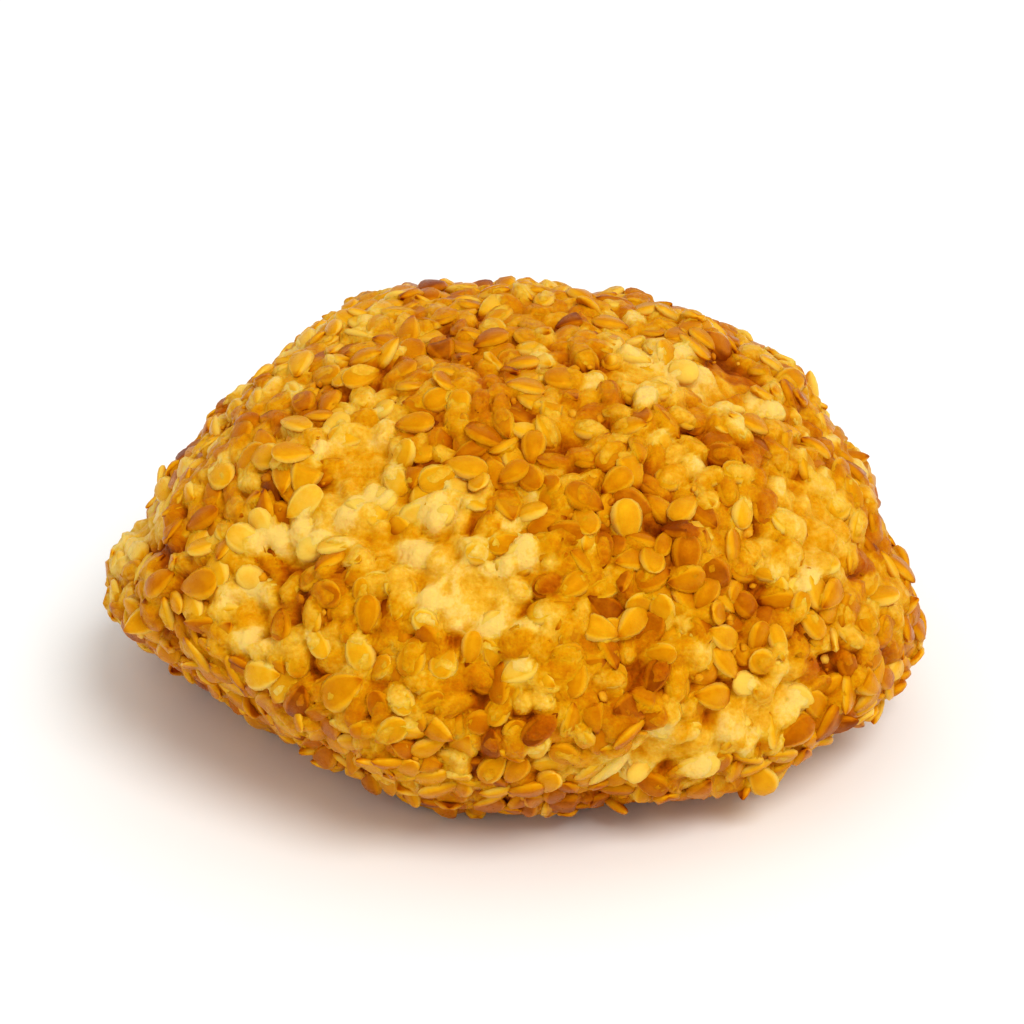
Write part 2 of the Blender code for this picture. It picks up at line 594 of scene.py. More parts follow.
@dataclass
class CubeGrid:
    """A closed grid over the sphere: six square grids of a cube's sides, welded along its edges.

    A point at shares a and b of a side, from -1 to 1, lies at the tangents of a and b times 45
    degrees, which keeps the cells nearly even. The directions then lean upwards, which draws the
    cells away from the base.
    """

    cells: int = 126
    upward_lean: float = 0.35
    map_margin: float = 0.006

    def __post_init__(self) -> None:
        """Works out the welded directions, the quads and their places on the bake map."""
        steps = np.arange(self.cells + 1)
        first, second = np.meshgrid(steps, steps, indexing="ij")
        keys, corners, places = [], [], []
        for number, (axis, end) in enumerate((a, e) for a in range(3) for e in (0, self.cells)):
            lattice = np.zeros((self.cells + 1, self.cells + 1, 3), int)
            lattice[..., axis] = end
            lattice[..., (axis + 1) % 3] = first if end else second
            lattice[..., (axis + 2) % 3] = second if end else first
            keys.append(lattice.reshape(-1, 3))
            corners.append(self.quad_corners() + number * (self.cells + 1) ** 2)
            places.append(self.map_places(number))
        lattice = np.concatenate(keys)
        coded = lattice @ ((self.cells + 1) ** 2, self.cells + 1, 1)
        _, kept, welded = np.unique(coded, return_index=True, return_inverse=True)
        spread = np.tan((lattice[kept] / self.cells * 2 - 1) * math.pi / 4)
        self.quads = welded.ravel()[np.concatenate(corners)]
        self.places = np.concatenate(places)[np.concatenate(corners)]
        self.directions = unit(unit(spread) + np.array((0.0, 0.0, self.upward_lean)))

    def quad_corners(self) -> np.ndarray:
        """The corners of each cell of one side.

        Returns:
            Four corner numbers a cell, counter-clockwise from outside.
        """
        numbers = np.arange((self.cells + 1) ** 2).reshape(self.cells + 1, self.cells + 1)
        quads = (numbers[:-1, :-1], numbers[1:, :-1], numbers[1:, 1:], numbers[:-1, 1:])
        return np.stack(quads, axis=-1).reshape(-1, 4)

    def map_places(self, number: int) -> np.ndarray:
        """The places of one side's corners on a map of three by two squares.

        Args:
            number: the side's number, from 0 to 5.

        Returns:
            One place a corner, across and up.
        """
        shares = self.map_margin + np.linspace(0, 1, self.cells + 1) * (1 - 2 * self.map_margin)
        across, up = np.meshgrid(shares, shares, indexing="ij")
        return np.stack(((across + number % 3) / 3, (up + number // 3) / 2), -1).reshape(-1, 2)


# ---------------------------------------------------------------------------------------------
# Meshes
# ---------------------------------------------------------------------------------------------


@dataclass
class MeshData:
    """A mesh as arrays: points, faces, places on the bake map a corner, and values a point."""

    points: np.ndarray
    quads: np.ndarray = field(default_factory=lambda: np.zeros((0, 4), int))
    quad_places: np.ndarray = field(default_factory=lambda: np.zeros((0, 4, 2)))
    triangles: np.ndarray = field(default_factory=lambda: np.zeros((0, 3), int))
    triangle_places: np.ndarray = field(default_factory=lambda: np.zeros((0, 3, 2)))
    values: dict[str, np.ndarray] = field(default_factory=dict)

    def to_object(self, name: str, material: bpy.types.Material, slot: Slot) -> bpy.types.Object:
        """Makes the object, smooth shaded, with its map, its values and its material.

        Args:
            name: name of the piece.
            material: the finish it wears.
            slot: the record's material slot; not used.

        Returns:
            The new object, riding on the cookie's body.
        """
        mesh = bpy.data.meshes.new(name)
        mesh.from_pydata(self.points.tolist(), [], self.quads.tolist() + self.triangles.tolist())
        corners = [places.reshape(-1, 2) for places in (self.quad_places, self.triangle_places)]
        bake_map = mesh.uv_layers.new(name=BAKE_MAP)
        bake_map.uv.foreach_set("vector", np.concatenate(corners).astype(np.float32).ravel())
        for value_name, value in self.values.items():
            attribute = mesh.attributes.new(value_name, "FLOAT", "POINT")
            attribute.data.foreach_set("value", value.astype(np.float32))
        mesh.shade_smooth()
        mesh.materials.append(material)
        mesh.update()
        piece = bpy.data.objects.new(name, mesh)
        bpy.context.scene.collection.objects.link(piece)
        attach(piece, BODY)
        count = 2 * len(self.quads) + len(self.triangles)
        LOG.info("%s: %d points, %d triangles", name, len(self.points), count)
        return piece


# ---------------------------------------------------------------------------------------------
# Finishes
# ---------------------------------------------------------------------------------------------


def linear(red: int, green: int, blue: int) -> Colour:
    """A colour given in display values, as the linear values that a shader takes.

    Each share of 255 is divided by 12.92 up to 0.04045, and above it 0.055 is added, the sum is
    divided by 1.055, and the quotient is raised to the power 2.4.

    Args:
        red: display value of red, from 0 to 255.
        green: the same of green.
        blue: the same of blue.

    Returns:
        The three linear values, from 0 to 1.
    """
    shares = np.array((red, green, blue)) / 255.0
    bright = ((shares + 0.055) / 1.055) ** 2.4
    return tuple(float(c) for c in np.where(shares <= 0.04045, shares / 12.92, bright))


GLAZE = (*linear(255, 196, 40), 1.0)
NOISE_SPAN = (0.3, 0.7)  # soft noise lies almost wholly between these


class Graph:
    """A material's nodes while they are being put together."""

    def __init__(self, name: str) -> None:
        """Starts a material with only its output and a Principled shader.

        Args:
            name: the material's name.
        """
        self.material = bpy.data.materials.new(name)
        self.material.use_nodes = True
        self.nodes = self.material.node_tree.nodes
        self.links = self.material.node_tree.links
        self.shader = self.nodes["Principled BSDF"]
        self.object_place = self.nodes.new("ShaderNodeTexCoord").outputs["Object"]

    def set(self, **values: object) -> None:
        """Sets the shader's own sockets, with underscores for the spaces in their names."""
        for name, value in values.items():
            self.shader.inputs[name.replace("_", " ")].default_value = value

    def feed(self, source: Source, socket: Socket) -> None:
        """Links a socket, or sets it to a number or a colour.

        Args:
            source: what the socket gets.
            socket: the socket.
        """
        if isinstance(source, Socket):
            self.links.new(source, socket)
        elif isinstance(source, tuple):
            socket.default_value = (*source, 1.0)
        else:
            socket.default_value = source

    def feed_shader(self, name: str, source: Socket) -> None:
        """Links a socket to one of the shader's inputs."""
        self.links.new(source, self.shader.inputs[name])

    def value(self, name: str) -> Socket:
        """A value that the mesh holds at each point.

        Args:
            name: the value's name.

        Returns:
            The value's socket.
        """
        node = self.nodes.new("ShaderNodeAttribute")
        node.attribute_name = name
        return node.outputs["Fac"]

    def noise(self, size: float, detail: float = 3.0, roughness: float = 0.55) -> Socket:
        """Soft noise on Object coordinates.

        Args:
            size: size of the noise's blobs, in metres.
            detail: number of finer layers.
            roughness: strength of each finer layer against the one before.

        Returns:
            The noise's socket, from 0 to 1.
        """
        node = self.nodes.new("ShaderNodeTexNoise")
        node.inputs["Scale"].default_value = 1.0 / size
        node.inputs["Detail"].default_value = detail
        node.inputs["Roughness"].default_value = roughness
        self.links.new(self.object_place, node.inputs["Vector"])
        return node.outputs["Fac"]

    def pits(self, size: float) -> Socket:
        """The distance to the nearest of many scattered points.

        Args:
            size: how far apart the points are, in metres.

        Returns:
            The distance's socket, as a share of the size.
        """
        node = self.nodes.new("ShaderNodeTexVoronoi")
        node.inputs["Scale"].default_value = 1.0 / size
        self.links.new(self.object_place, node.inputs["Vector"])
        return node.outputs["Distance"]

    def math(self, kind: str, *sources: Source) -> Socket:
        """What a Math node works out.

        Args:
            kind: the node's operation.
            sources: two or three sockets or numbers.

        Returns:
            The result's socket.
        """
        node = self.nodes.new("ShaderNodeMath")
        node.operation = kind
        for socket, source in zip(node.inputs, sources):
            self.feed(source, socket)
        return node.outputs[0]

    def total(self, first: Socket, *effects: Socket) -> Socket:
        """A value and the effects on it, added up in their order.

        Args:
            first: the value.
            effects: what is added to it.

        Returns:
            The sum's socket.
        """
        for effect in effects:
            first = self.math("ADD", first, effect)
        return first

    def spread(self, source: Source, span: Span, start: float, end: float) -> Socket:
        """A value of a span spread evenly from start to end, and held at both ends.

        Args:
            source: the value.
            span: the values that give start and end.
            start: the result at the span's first value and beyond.
            end: the result at the span's second value and beyond.

        Returns:
            The result's socket.
        """
        node = self.nodes.new("ShaderNodeMapRange")
        self.feed(source, node.inputs["Value"])
        names = ("From Min", "From Max", "To Min", "To Max")
        for name, number in zip(names, (*span, start, end)):
            node.inputs[name].default_value = number
        return node.outputs["Result"]

    def around(self, noise: Socket, half: float) -> Socket:
        """Noise spread evenly to both sides of nothing, half as far as given to each."""
        return self.spread(noise, NOISE_SPAN, -half, half)

    def ramp(self, source: Socket, stops: tuple[tuple[float, Colour], ...]) -> Socket:
        """A colour read from a value, along a row of stops.

        Args:
            source: the value, from 0 to 1.
            stops: each stop's place and colour.

        Returns:
            The colour's socket.
        """
        node = self.nodes.new("ShaderNodeValToRGB")
        elements = node.color_ramp.elements
        while len(elements) < len(stops):
            elements.new(0.5)
        for element, (place, colour) in zip(elements, stops):
            element.position = place
            element.color = (*colour, 1.0)
        self.feed(source, node.inputs["Fac"])
        return node.outputs["Color"]

    def bump(self, height: Socket, distance: float) -> None:
        """Fine relief from a height.

        Args:
            height: the height, from 0 to 1.
            distance: depth of the relief, in metres.
        """
        node = self.nodes.new("ShaderNodeBump")
        node.inputs["Distance"].default_value = distance
        node.inputs["Strength"].default_value = 1.0
        self.links.new(height, node.inputs["Height"])
        self.links.new(node.outputs["Normal"], self.shader.inputs["Normal"])


@dataclass(frozen=True)
class SeedFinish:
    """Toasted sesame: one scale from cream to brown, along which every effect moves the colour.

    A seed is paler at its thin rim, which is a painted highlight, and near bare crust.
    It is darker low down between its neighbours, which is painted shade, and browner at its tip.
    """

    name: str = "toasted_sesame"
    stops: tuple[tuple[float, Colour], ...] = (
        (0.0, linear(235, 193, 84)),
        (0.26, linear(228, 167, 27)),
        (0.50, linear(211, 140, 6)),
        (0.76, linear(186, 105, 2)),
        (1.0, linear(136, 60, 1)),
    )
    mottling: float = 0.10
    mottle: float = 1.05 * MM
    # Painted highlight: the thin rim is drawn paler than the rest of the seed.
    painted_rim_highlight: float = 0.43
    rim: Span = (0.58, 1.0)
    paler_near_splits: float = 0.40
    # Painted shade: a seed is drawn darker where it lies low between its neighbours.
    painted_low_shade: float = 0.52
    low: Span = (0.20, 1.0)
    browner_tip: float = 0.34
    tip: Span = (0.16, 0.02)
    grain: float = 0.35 * MM
    roughness: Span = (0.24, 0.42)
    wrinkle: float = 0.16 * MM
    relief: float = 0.03 * MM

    def material(self) -> bpy.types.Material:
        """Puts the seed's finish together.

        Returns:
            The material.
        """
        graph = Graph(self.name)
        toast = graph.total(
            graph.value("toast"),
            graph.around(graph.noise(self.mottle), self.mottling),
            # painted highlight at the thin rim
            graph.spread(graph.value("rim"), self.rim, 0.0, -self.painted_rim_highlight),
            graph.spread(graph.value("pale"), (0.0, 1.0), 0.0, -self.paler_near_splits),
            # painted shade low down between neighbours
            graph.spread(graph.value("sunk"), self.low, 0.0, self.painted_low_shade),
            graph.spread(graph.value("along"), self.tip, 0.0, self.browner_tip),
        )
        graph.feed_shader("Base Color", graph.ramp(toast, self.stops))
        grain = graph.noise(self.grain)
        graph.feed_shader("Roughness", graph.spread(grain, NOISE_SPAN, *self.roughness))
        graph.bump(graph.noise(self.wrinkle, detail=4.0, roughness=0.6), self.relief)
        graph.set(Subsurface_Weight=0.22, Subsurface_Radius=(1.0, 0.40, 0.08))
        graph.set(Subsurface_Scale=0.8 * MM, IOR=1.47)
        graph.set(Specular_IOR_Level=0.42, Specular_Tint=GLAZE)
        return graph.material


@dataclass(frozen=True)
class DoughFinish:
    """Glazed dough: golden where it covers a seed, amber to brown between, pale near splits.

    Its scale runs from cream to brown, as the seeds' does. A place starts at the covering's tone
    and moves towards brown by its depth below the crust, less so where it is pale: painted shade
    between and around the seeds.
    """

    name: str = "glazed_dough"
    stops: tuple[tuple[float, Colour], ...] = (
        (0.0, linear(239, 201, 110)),
        (0.15, linear(231, 181, 62)),
        (0.34, linear(218, 152, 11)),
        (0.50, linear(202, 126, 5)),
        (0.72, linear(179, 93, 2)),
        (1.0, linear(132, 55, 1)),
    )
    covering: float = 0.355
    paler_when_bare: float = 0.27
    # Share of the painted shade that stays where the dough is pale.
    shade_kept_when_pale: float = 0.55
    mottling: float = 0.11
    crumb: float = 0.38 * MM
    blotch: float = 2.28 * MM
    roughness: Span = (0.28, 0.52)
    pore: float = 0.6 * MM
    pore_edge: Span = (0.0, 0.35)
    pore_share: float = 0.35
    relief: float = 0.14 * MM

    def material(self) -> bpy.types.Material:
        """Puts the dough's finish together.

        Returns:
            The material.
        """
        graph = Graph(self.name)
        crumb = graph.noise(self.crumb, detail=5.0, roughness=0.62)
        pale = graph.value("pale")
        # Painted shade: the deeper the dough lies below the crust, the darker it is drawn.
        deepest = 1.0 - self.covering
        kept = graph.spread(pale, (0.0, 1.0), deepest, self.shade_kept_when_pale * deepest)
        depth = graph.total(
            graph.math("MULTIPLY_ADD", graph.value("sunk"), kept, self.covering),
            graph.spread(pale, (0.0, 1.0), 0.0, -self.paler_when_bare),
            graph.around(crumb, self.mottling),
            graph.around(graph.noise(self.blotch), self.mottling),
            graph.value("brown"),
        )
        graph.feed_shader("Base Color", graph.ramp(depth, self.stops))
        graph.feed_shader("Roughness", graph.spread(crumb, NOISE_SPAN, *self.roughness))
        pores = graph.spread(graph.pits(self.pore), self.pore_edge, 0.0, 1.0)
        graph.bump(graph.math("MULTIPLY_ADD", pores, self.pore_share, crumb), self.relief)
        graph.set(Subsurface_Weight=0.30, Subsurface_Radius=(1.0, 0.40, 0.08))
        graph.set(Subsurface_Scale=1.0 * MM)
        graph.set(Specular_IOR_Level=0.34, Specular_Tint=GLAZE)
        return graph.material


@dataclass(frozen=True)
class CrumbFinish:
    """Crumbs of baked dough and broken seed: each its own shade from cream to brown."""

    name: str = "baked_crumb"
    stops: tuple[tuple[float, Colour], ...] = (
        (0.0, linear(236, 194, 84)),
        (0.4, linear(220, 154, 24)),
        (0.75, linear(196, 116, 6)),
        (1.0, linear(146, 70, 3)),
    )
    mottling: float = 0.12
    grain: float = 0.25 * MM
    roughness: Span = (0.42, 0.62)
    relief: float = 0.05 * MM

    def material(self) -> bpy.types.Material:
        """Puts the crumbs' finish together.

        Returns:
            The material.
        """
        graph = Graph(self.name)
        grain = graph.noise(self.grain)
        toast = graph.total(graph.value("toast"), graph.around(grain, self.mottling))
        graph.feed_shader("Base Color", graph.ramp(toast, self.stops))
        graph.feed_shader("Roughness", graph.spread(grain, NOISE_SPAN, *self.roughness))
        graph.bump(grain, self.relief)
        graph.set(Subsurface_Weight=0.12, Subsurface_Radius=(1.0, 0.45, 0.12))
        graph.set(Subsurface_Scale=0.5 * MM)
        graph.set(Specular_IOR_Level=0.5, Specular_Tint=GLAZE)
        return graph.material


# ---------------------------------------------------------------------------------------------
# Seeds
# ---------------------------------------------------------------------------------------------


@dataclass
class SeedMould:
    """The shape of sesame seeds: flattened teardrops, worked out for many seeds at once.

    Along a seed the share t runs from its tip to its round end. Half its width is proportional to
    t to the power 0.85 times (1 - t) to the power 0.5, and half its thickness to t to the power
    0.55 times (1 - t) to the power 0.45. Its section at t is a flattened ellipse.
    """

    rings: int = 7
    sides: int = 8
    width_powers: Span = (0.85, 0.5)
    thickness_powers: Span = (0.55, 0.45)
    section_fullness: float = 0.62
    middle_line: float = 0.99
    map_margin: float = 0.06

    def profile(self, shares: np.ndarray, powers: Span) -> np.ndarray:
        """A half-size along the seed: t to one power times (1 - t) to another, at most 1.

        Args:
            shares: the shares t along the seed.
            powers: the power of t and the power of (1 - t).

        Returns:
            The half-size at each share, scaled to reach 1 at its peak.
        """
        rise, fall = powers
        peak = rise / (rise + fall)
        top = peak**rise * (1 - peak) ** fall
        return shares**rise * (1 - shares) ** fall / top

    def shares(self) -> np.ndarray:
        """The share along the seed of every point.

        The rings lie at one less the cosine of even steps of a half turn, halved, which sets them
        closer together towards both ends.

        Returns:
            One share a point, starting with the tip and ending with the round end.
        """
        inner = (1 - np.cos(math.pi * np.arange(1, self.rings + 1) / (self.rings + 1))) / 2
        return np.concatenate(([0.0], np.repeat(inner, self.sides), [1.0]))

    def turns(self) -> np.ndarray:
        """The turn of every point about the seed, starting and ending with its two ends."""
        ring = np.arange(self.sides) * 2 * math.pi / self.sides
        return np.concatenate(([0.0], np.tile(ring, self.rings), [0.0]))

    def local_points(
        self,
        sizes: np.ndarray,
        camber: np.ndarray,
        hollow: np.ndarray,
        breaks: np.ndarray,
        cut: np.ndarray,
    ) -> np.ndarray:
        """Points of each seed in its own axes: along it, across it and up.

        A broken seed's points past the cut are drawn back onto it, which leaves a flat end. The
        middle bows up by a parabola that is 1 at half the length and 0 at both ends.

        Args:
            sizes: length, width and thickness of each seed.
            camber: how far the middle of each seed bows up, as a share of its length.
            hollow: how high the middle line of each seed's two faces stands, 1 where it isn't sunk.
            breaks: the value of Break for each seed.
            cut: the share along each seed at which it has broken.

        Returns:
            An array of seeds by points by three.
        """
        shares = self.shares()
        sines = np.sin(self.turns())
        length, width, thickness = (sizes[:, k, None] for k in range(3))
        across = np.cos(self.turns()) * self.profile(shares, self.width_powers)
        upward = np.sign(sines) * np.abs(sines) ** self.section_fullness
        upward = upward * self.profile(shares, self.thickness_powers)
        upward = upward * np.where(np.abs(sines) > self.middle_line, hollow[:, None], 1.0)
        breaks, cut = breaks[:, None], cut[:, None]
        shares = np.broadcast_to(shares, (len(sizes), len(shares)))
        shares = np.where(breaks == Break.ROUND_END.value, np.minimum(shares, cut), shares)
        shares = np.where(breaks == Break.TIP.value, np.maximum(shares, 1 - cut), shares)
        bow = camber[:, None] * length * (0.25 - (shares - 0.5) ** 2) * 4
        along = (shares - 0.5) * length
        return np.stack((along, across * width / 2, upward * thickness / 2 + bow), axis=-1)

    def rim(self) -> np.ndarray:
        """How near the thin edge each point lies: 0 on the middle line, 1 at the edge."""
        return np.abs(np.cos(self.turns()))

    def faces(self, count: int) -> tuple[np.ndarray, np.ndarray, np.ndarray, np.ndarray]:
        """Faces of so many seeds, and the places of their corners on a map of square cells.

        Args:
            count: number of seeds.

        Returns:
            Quads, the quads' places, triangles and the triangles' places.
        """
        ring, side = np.meshgrid(np.arange(self.rings - 1), np.arange(self.sides), indexing="ij")
        ring, side = ring.ravel(), side.ravel()
        after = (side + 1) % self.sides
        low, high = 1 + ring * self.sides, 1 + (ring + 1) * self.sides
        quads = np.stack((low + side, high + side, high + after, low + after), axis=-1)
        quad_across = np.stack((side, side, side + 1, side + 1), axis=-1) / self.sides
        quad_up = np.stack((ring + 1, ring + 2, ring + 2, ring + 1), axis=-1) / (self.rings + 1)
        quad_places = np.stack((quad_across, quad_up), axis=-1)
        side = np.arange(self.sides)
        after = (side + 1) % self.sides
        last = 1 + (self.rings - 1) * self.sides
        tip = np.stack((np.zeros_like(side), 1 + side, 1 + after), axis=-1)
        end = np.full_like(side, last + self.sides)
        round_end = np.stack((end, last + after, last + side), axis=-1)
        tip_across = np.stack((side + 0.5, side, side + 1), axis=-1) / self.sides
        end_across = np.stack((side + 0.5, side + 1, side), axis=-1) / self.sides
        tip_up = np.tile((0.0, 1.0, 1.0), (self.sides, 1)) / (self.rings + 1)
        tip_places = np.stack((tip_across, tip_up), axis=-1)
        end_places = np.stack((end_across, 1 - tip_up), axis=-1)
        steps = np.arange(count)[:, None, None] * (self.rings * self.sides + 2)
        return (
            (quads[None] + steps).reshape(-1, 4),
            in_cells(quad_places, count, self.map_margin),
            (np.concatenate((tip, round_end))[None] + steps).reshape(-1, 3),
            in_cells(np.concatenate((tip_places, end_places)), count, self.map_margin),
        )


@dataclass
class SeedCoat:
    """The coat of seeds: where each lies, which way it points and how it leans on its neighbours.

    Random places on the crust push each other apart until they are evenly spread. Each seed then
    has a random order of falling, and the seeds are stacked in that order. The shares and sizes
    below are in the order in which the methods use them.
    """

    form: CookieForm
    count: int = 3350
    seed: int = 5
    tries_a_place: int = 5
    least_facing: float = 0.2

    spacing: float = 1.57 * MM
    spread_rounds: int = 12
    push: float = 0.25
    strongest_push: float = 2.0

    missing_when_bare: float = 0.55
    base_share: float = 0.75

    length: float = 2.62 * MM
    width_share: float = 0.66
    thickness: float = 0.80 * MM
    length_spread: Bell = Bell(1.0, 0.085, 0.78, 1.2)
    width_spread: Bell = Bell(1.0, 0.08, 0.8, 1.18)
    thickness_spread: Bell = Bell(1.0, 0.11, 0.75, 1.25)
    hollow_span: Span = (0.62, 1.02)
    sunk: float = 0.42 * MM
    sunk_when_bare: float = 0.22 * MM
    sunk_spread: Bell = Bell(0.0, 0.06 * MM)

    overlap_reach: float = 1.1
    squash: float = 0.10 * MM
    steadiness: float = 0.35 * MM
    loose_lean: float = 0.10
    stack_rounds: int = 60
    lift: float = 0.40
    press: float = 0.20
    upper_tilt: float = 0.45
    lower_tilt: float = 0.30
    ease_back: float = 0.06
    deepest: float = 0.78 * MM
    highest: float = 0.45 * MM
    ease_flat: float = 0.96
    steepest: float = 0.75

    waist_height: float = 6.0 * MM
    waist_edge: Span = (2.0 * MM, 7.0 * MM)
    raised_share: float = 0.06
    more_at_waist: float = 1.5
    raised_slopes: Span = (0.4, 0.95)
    raised_by: float = 0.20 * MM
    base_slope: float = 0.08

    tone_spread: Bell = Bell(0.0, 0.16)
    browner_share: float = 0.03
    browner_by: float = 0.22
    usual_toast: float = 0.57
    base_toast: float = 0.12
    toast_span: Span = (0.02, 1.0)
    broken_share: float = 0.16

    camber: Bell = Bell(0.02, 0.018)
    cut_span: Span = (0.60, 0.80)
    # Depths below the crust over which a seed's painted shade grows from none to full.
    seed_shade_depths: Span = (-0.10 * MM, 0.70 * MM)
    round_end_share: float = 0.6

    def __post_init__(self) -> None:
        """Scatters the seeds, thins them where the crust is bare, and stacks them."""
        self.random = np.random.default_rng(self.seed)
        places = self.spread_out(self.first_places())
        places = places[self.kept(places)]
        directions = self.form.directions_to(places)
        self.ground = self.form.surface(directions)
        self.normal = self.form.normals(directions)
        self.total = len(self.ground)
        self.on_base = self.ground[:, 2] < ON_BASE
        self.bare = self.form.bareness(self.ground)
        self.pick_sizes()
        self.stack()
        self.lean_loose_seeds()
        self.pick_toasting()

    def first_places(self) -> np.ndarray:
        """Random places on the crust, with the same chance for equal areas.

        The chance of a direction is the squared distance to the crust, over how squarely the crust
        faces that direction.

        Returns:
            One place a row.
        """
        tries = unit(self.random.normal(size=(self.count * self.tries_a_place, 3)))
        surface = self.form.surface(tries)
        radius = np.linalg.norm(surface - self.form.middle, axis=1)
        facing = np.abs(np.sum(self.form.normals(tries) * tries, axis=1))
        chance = radius**2 / np.maximum(facing, self.least_facing)
        chance = chance / chance.sum()
        return surface[self.random.choice(len(tries), self.count, replace=False, p=chance)]

    def spread_out(self, places: np.ndarray) -> np.ndarray:
        """Pushes places apart along the crust until few crowd each other.

        Each pair nearer than the spacing is pushed apart by a share of what it lacks, and the
        places are then put back on the crust.

        Args:
            places: one place a row.

        Returns:
            The places spread out, one a row.
        """
        for _ in range(self.spread_rounds):
            first, second = near_pairs(places, self.spacing)
            gaps = places[first] - places[second]
            distance = np.linalg.norm(gaps, axis=1) + NEARLY_ZERO
            push = np.clip(self.spacing / distance - 1.0, 0.0, self.strongest_push)
            places = places + self.push * gathered(push[:, None] * gaps, first, len(places))
            places = self.form.surface(self.form.directions_to(places))
        return places

    def kept(self, places: np.ndarray) -> np.ndarray:
        """Which seeds stay: fewer where the crust parted, and a share of those on the base.

        Args:
            places: one place a row.

        Returns:
            Whether each place keeps its seed.
        """
        chance = self.random.uniform(size=len(places))
        above = places[:, 2] >= ON_BASE
        dense = chance > self.form.bareness(places) * self.missing_when_bare
        return dense & (above | (chance < self.base_share))

    def pick_sizes(self) -> None:
        """Picks each seed's length, width, thickness, hollow faces, heading and rest height."""
        random, total = self.random, self.total
        length = self.length * self.length_spread.draw(random, total)
        width = length * self.width_share * self.width_spread.draw(random, total)
        thickness = self.thickness * self.thickness_spread.draw(random, total)
        self.sizes = np.stack((length, width, thickness), axis=-1)
        self.hollow = random.uniform(*self.hollow_span, total)
        self.heading = turned_headings(self.normal, random.uniform(0, 2 * math.pi, total))
        self.across = np.cross(self.normal, self.heading)
        unevenness = self.sunk_spread.draw(random, total)
        self.rest = -self.sunk - self.sunk_when_bare * self.bare + unevenness

    def reach_at(self, seeds: np.ndarray, offsets: np.ndarray) -> np.ndarray:
        """How thick half of each seed is at an offset from its middle, and nothing past its edge.

        Args:
            seeds: numbers of the seeds.
            offsets: the offset along the crust from each one's middle.

        Returns:
            Half the thickness times the root of one less the squared share of the way to the edge.
        """
        along = np.sum(offsets * self.heading[seeds], axis=1) / (self.sizes[seeds, 0] / 2)
        across = np.sum(offsets * self.across[seeds], axis=1) / (self.sizes[seeds, 1] / 2)
        return self.sizes[seeds, 2] / 2 * np.sqrt(np.clip(1 - along**2 - across**2, 0.0, 1.0))

    def stack(self) -> None:
        """Stacks the seeds in their order of falling.

        Each round looks at every pair that overlaps, at the point half way between the two. Where
        the upper seed's underside is below the lower seed's top, the upper one is lifted and
        tilted, and the lower one is pressed down, by a share of what is lacking. Then every seed
        eases back towards its own rest height and towards lying flat.
        """
        order = self.random.uniform(size=self.total)
        upper, lower = near_pairs(self.ground, self.length * self.overlap_reach)
        falls_later = order[upper] > order[lower]
        upper, lower = upper[falls_later], lower[falls_later]
        to_upper = (self.ground[lower] - self.ground[upper]) / 2
        reach_up, reach_low = self.reach_at(upper, to_upper), self.reach_at(lower, -to_upper)
        meet = (reach_up > 0) & (reach_low > 0)
        upper, lower, to_upper = upper[meet], lower[meet], to_upper[meet]
        needed = reach_up[meet] + reach_low[meet] - self.squash
        share = to_upper / (np.sum(to_upper**2, axis=1, keepdims=True) + self.steadiness**2)
        height = self.rest.copy()
        slope = self.random.normal(size=(self.total, 3)) * self.loose_lean
        for _ in range(self.stack_rounds):
            low_top = height[lower] - np.sum(slope[lower] * to_upper, axis=1)
            up_under = height[upper] + np.sum(slope[upper] * to_upper, axis=1)
            lack = np.maximum(low_top + needed - up_under, 0.0)
            active = (lack > 0).astype(float)
            for seeds, move, tilt in (
                (upper, self.lift, self.upper_tilt),
                (lower, -self.press, self.lower_tilt),
            ):
                times = np.maximum(gathered(active, seeds, self.total), 1.0)
                tilting = gathered(lack[:, None] * share, seeds, self.total)
                height += move * gathered(lack, seeds, self.total) / times
                slope += tilt * tilting / times[:, None]
            height += self.ease_back * (self.rest - height)
            height = height.clip(-self.deepest, self.highest)
            steepness = np.linalg.norm(slope, axis=1, keepdims=True)
            held = np.minimum(1.0, self.steepest / np.maximum(steepness, NEARLY_ZERO))
            slope *= self.ease_flat * held
        self.height, self.slope = height, slope

    def lean_loose_seeds(self) -> None:
        """Lifts one end of a few seeds, more of them at the waist, and sets every seed's axes."""
        random, total = self.random, self.total
        from_waist = np.abs(self.ground[:, 2] - self.waist_height)
        waist = 1.0 - smooth_step(from_waist, *self.waist_edge)
        raised = random.uniform(size=total) < self.raised_share * (1 + self.more_at_waist * waist)
        steepness = random.uniform(*self.raised_slopes, total) * random.choice((-1, 1), total)
        slope = self.slope + np.where(raised, steepness, 0.0)[:, None] * self.heading
        height = self.height + np.where(raised, self.raised_by, 0.0)
        slope[self.on_base] *= self.base_slope
        height[self.on_base] = -self.sizes[self.on_base, 2] / 2
        slope -= np.sum(slope * self.normal, axis=1, keepdims=True) * self.normal
        self.height, self.slope = height, slope
        self.up = unit(self.normal - slope)
        rising = np.sum(self.heading * self.up, axis=1, keepdims=True)
        self.heading = unit(self.heading - rising * self.up)
        self.across = np.cross(self.up, self.heading)
        self.middle = self.ground + height[:, None] * self.normal

    def pick_toasting(self) -> None:
        """Picks how brown each seed is, and which seeds are broken."""
        random, total = self.random, self.total
        tone = self.tone_spread.draw(random, total)
        browner = random.uniform(size=total) < self.browner_share
        self.tone = tone + np.where(browner, self.browner_by, 0.0)
        toast = self.usual_toast + CrustFields(self.form).browning(self.ground) + self.tone
        self.toast = (toast + self.base_toast * self.on_base).clip(*self.toast_span)
        self.broken = random.uniform(size=total) < self.broken_share

